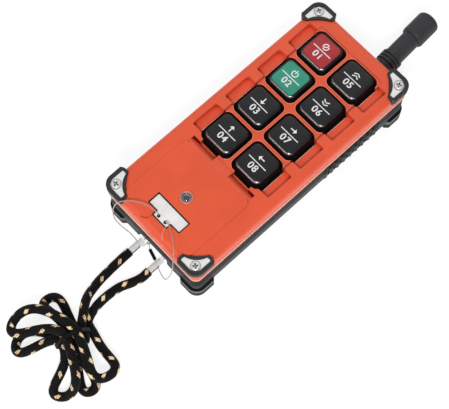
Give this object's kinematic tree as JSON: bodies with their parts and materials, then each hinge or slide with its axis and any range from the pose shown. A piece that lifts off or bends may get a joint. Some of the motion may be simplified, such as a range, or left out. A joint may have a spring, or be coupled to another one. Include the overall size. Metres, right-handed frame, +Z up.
{
  "type": "crane radio remote control",
  "caption": "Hand-held radio transmitter for a crane, with rubber keys, a lift-out magnetic key, corner bumpers, a stub antenna and a braided lanyard.",
  "frame": {"origin": "on the surface that the transmitter lies on, under the middle of the case and antenna together (the free cords aren't counted)", "axes": "+X to the right across the case, +Y along it to the antenna, +Z up, out of the keypad"},
  "size_m": [0.0627, 0.2439, 0.0328],
  "materials": {
    "front_shell": "orange moulded plastic, fine texture",
    "rear_shell": "dark grey moulded plastic",
    "shell_gasket": "black rubber",
    "top_bumper_front_left": "black rubber",
    "top_bumper_front_right": "black rubber",
    "top_bumper_rear_left": "black rubber",
    "top_bumper_rear_right": "black rubber",
    "foot_bumper_front_left": "black rubber",
    "foot_bumper_front_right": "black rubber",
    "foot_bumper_rear_left": "black rubber",
    "foot_bumper_rear_right": "black rubber",
    "corner_plates": "nickel plated sheet",
    "corner_screws": "nickel plated steel",
    "keypad_membrane": "silicone rubber",
    "indicator_lens": "clear moulded light guide",
    "indicator_bezel": "grey plastic ring",
    "indicator_led": "epoxy lamp body",
    "circuit_board": "glass fibre board with green lacquer",
    "board_screws": "zinc plated steel",
    "radio_module": "tinned shielding can",
    "reed_switch": "glass tube",
    "antenna_foot": "moulded rubber",
    "antenna_stem": "moulded rubber",
    "antenna_cap": "moulded rubber",
    "antenna_core": "brass rod",
    "antenna_nut": "brass nut",
    "battery_cells": "printed steel cans, shown bare",
    "battery_contacts": "nickel plated strip",
    "battery_springs": "nickel plated wire",
    "tether_crimp": "black shrink sleeve",
    "tether_ring": "split ring of steel wire",
    "key_tether": "fine steel wire with a clear coat",
    "lanyard_bar": "steel pin",
    "lanyard_ferrules": "chromed crimps with eyes",
    "lanyard_strand_left": "black braided cord with cream flecks",
    "lanyard_strand_right": "black braided cord with cream flecks",
    "lanyard_hank": "black braided cord with cream flecks",
    "lanyard_tie": "black plastic band",
    "stop_key": "black silicone rubber",
    "stop_key_face": "printed rubber face",
    "start_key": "black silicone rubber",
    "start_key_face": "printed rubber face",
    "south_key": "black silicone rubber",
    "south_key_face": "printed rubber face",
    "north_key": "black silicone rubber",
    "north_key_face": "printed rubber face",
    "up_key": "black silicone rubber",
    "up_key_face": "printed rubber face",
    "down_key": "black silicone rubber",
    "down_key_face": "printed rubber face",
    "east_key": "black silicone rubber",
    "east_key_face": "printed rubber face",
    "west_key": "black silicone rubber",
    "west_key_face": "printed rubber face",
    "magnetic_key": "white moulded plastic",
    "key_magnet": "nickel plated magnet",
    "battery_cover": "dark grey moulded plastic",
    "battery_cover_seal": "foam rubber",
    "cover_screw_front": "nickel plated steel",
    "cover_screw_rear": "nickel plated steel"
  },
  "bodies": {
    "transmitter": {"front_shell": "front_shell", "rear_shell": "rear_shell", "shell_gasket": "shell_gasket", "top_bumper_front_left": "top_bumper_front_left", "top_bumper_front_right": "top_bumper_front_right", "top_bumper_rear_left": "top_bumper_rear_left", "top_bumper_rear_right": "top_bumper_rear_right", "foot_bumper_front_left": "foot_bumper_front_left", "foot_bumper_front_right": "foot_bumper_front_right", "foot_bumper_rear_left": "foot_bumper_rear_left", "foot_bumper_rear_right": "foot_bumper_rear_right", "corner_plates": "corner_plates", "corner_screws": "corner_screws", "keypad_membrane": "keypad_membrane", "indicator_lens": "indicator_lens", "indicator_bezel": "indicator_bezel", "indicator_led": "indicator_led", "circuit_board": "circuit_board", "board_screws": "board_screws", "radio_module": "radio_module", "reed_switch": "reed_switch", "antenna_foot": "antenna_foot", "antenna_stem": "antenna_stem", "antenna_cap": "antenna_cap", "antenna_core": "antenna_core", "antenna_nut": "antenna_nut", "battery_cells": "battery_cells", "battery_contacts": "battery_contacts", "battery_springs": "battery_springs", "tether_crimp": "tether_crimp", "tether_ring": "tether_ring", "key_tether": "key_tether", "lanyard_bar": "lanyard_bar", "lanyard_ferrules": "lanyard_ferrules", "lanyard_strand_left": "lanyard_strand_left", "lanyard_strand_right": "lanyard_strand_right", "lanyard_hank": "lanyard_hank", "lanyard_tie": "lanyard_tie"},
    "stop_button": {"stop_key": "stop_key", "stop_key_face": "stop_key_face"},
    "start_button": {"start_key": "start_key", "start_key_face": "start_key_face"},
    "south_button": {"south_key": "south_key", "south_key_face": "south_key_face"},
    "north_button": {"north_key": "north_key", "north_key_face": "north_key_face"},
    "up_button": {"up_key": "up_key", "up_key_face": "up_key_face"},
    "down_button": {"down_key": "down_key", "down_key_face": "down_key_face"},
    "east_button": {"east_key": "east_key", "east_key_face": "east_key_face"},
    "west_button": {"west_key": "west_key", "west_key_face": "west_key_face"},
    "arming_key": {"magnetic_key": "magnetic_key", "key_magnet": "key_magnet"},
    "cover": {"battery_cover": "battery_cover", "battery_cover_seal": "battery_cover_seal"},
    "screw_front": {"cover_screw_front": "cover_screw_front"},
    "screw_rear": {"cover_screw_rear": "cover_screw_rear"}
  },
  "joints": [
    {"name": "stop_press", "type": "slide", "parent": "transmitter", "child": "stop_button", "axis": [0, 0, -1], "range_m": [0, 0.0015], "stiffness_N_per_m": 800, "springref_m": -0.0006},
    {"name": "start_press", "type": "slide", "parent": "transmitter", "child": "start_button", "axis": [0, 0, -1], "range_m": [0, 0.0015], "stiffness_N_per_m": 800, "springref_m": -0.0006},
    {"name": "south_press", "type": "slide", "parent": "transmitter", "child": "south_button", "axis": [0, 0, -1], "range_m": [0, 0.0015], "stiffness_N_per_m": 800, "springref_m": -0.0006},
    {"name": "north_press", "type": "slide", "parent": "transmitter", "child": "north_button", "axis": [0, 0, -1], "range_m": [0, 0.0015], "stiffness_N_per_m": 800, "springref_m": -0.0006},
    {"name": "up_press", "type": "slide", "parent": "transmitter", "child": "up_button", "axis": [0, 0, -1], "range_m": [0, 0.0015], "stiffness_N_per_m": 800, "springref_m": -0.0006},
    {"name": "down_press", "type": "slide", "parent": "transmitter", "child": "down_button", "axis": [0, 0, -1], "range_m": [0, 0.0015], "stiffness_N_per_m": 800, "springref_m": -0.0006},
    {"name": "east_press", "type": "slide", "parent": "transmitter", "child": "east_button", "axis": [0, 0, -1], "range_m": [0, 0.0015], "stiffness_N_per_m": 800, "springref_m": -0.0006},
    {"name": "west_press", "type": "slide", "parent": "transmitter", "child": "west_button", "axis": [0, 0, -1], "range_m": [0, 0.0015], "stiffness_N_per_m": 800, "springref_m": -0.0006},
    {"name": "arming_key_lift", "type": "slide", "parent": "transmitter", "child": "arming_key", "axis": [0, 0, 1], "range_m": [0, 0.015], "deforming": ["key_tether"]},
    {"name": "cover_lift", "type": "slide", "parent": "transmitter", "child": "cover", "axis": [0, 0, -1], "range_m": [0, 0.02]},
    {"name": "cover_screw_front_turn", "type": "hinge", "parent": "cover", "child": "screw_front", "pos_m": [0, -0.00273, 0.0016], "axis": [0, 0, 1], "continuous": true},
    {"name": "cover_screw_rear_turn", "type": "hinge", "parent": "cover", "child": "screw_rear", "pos_m": [0, -0.06833, 0.0016], "axis": [0, 0, 1], "continuous": true}
  ]
}
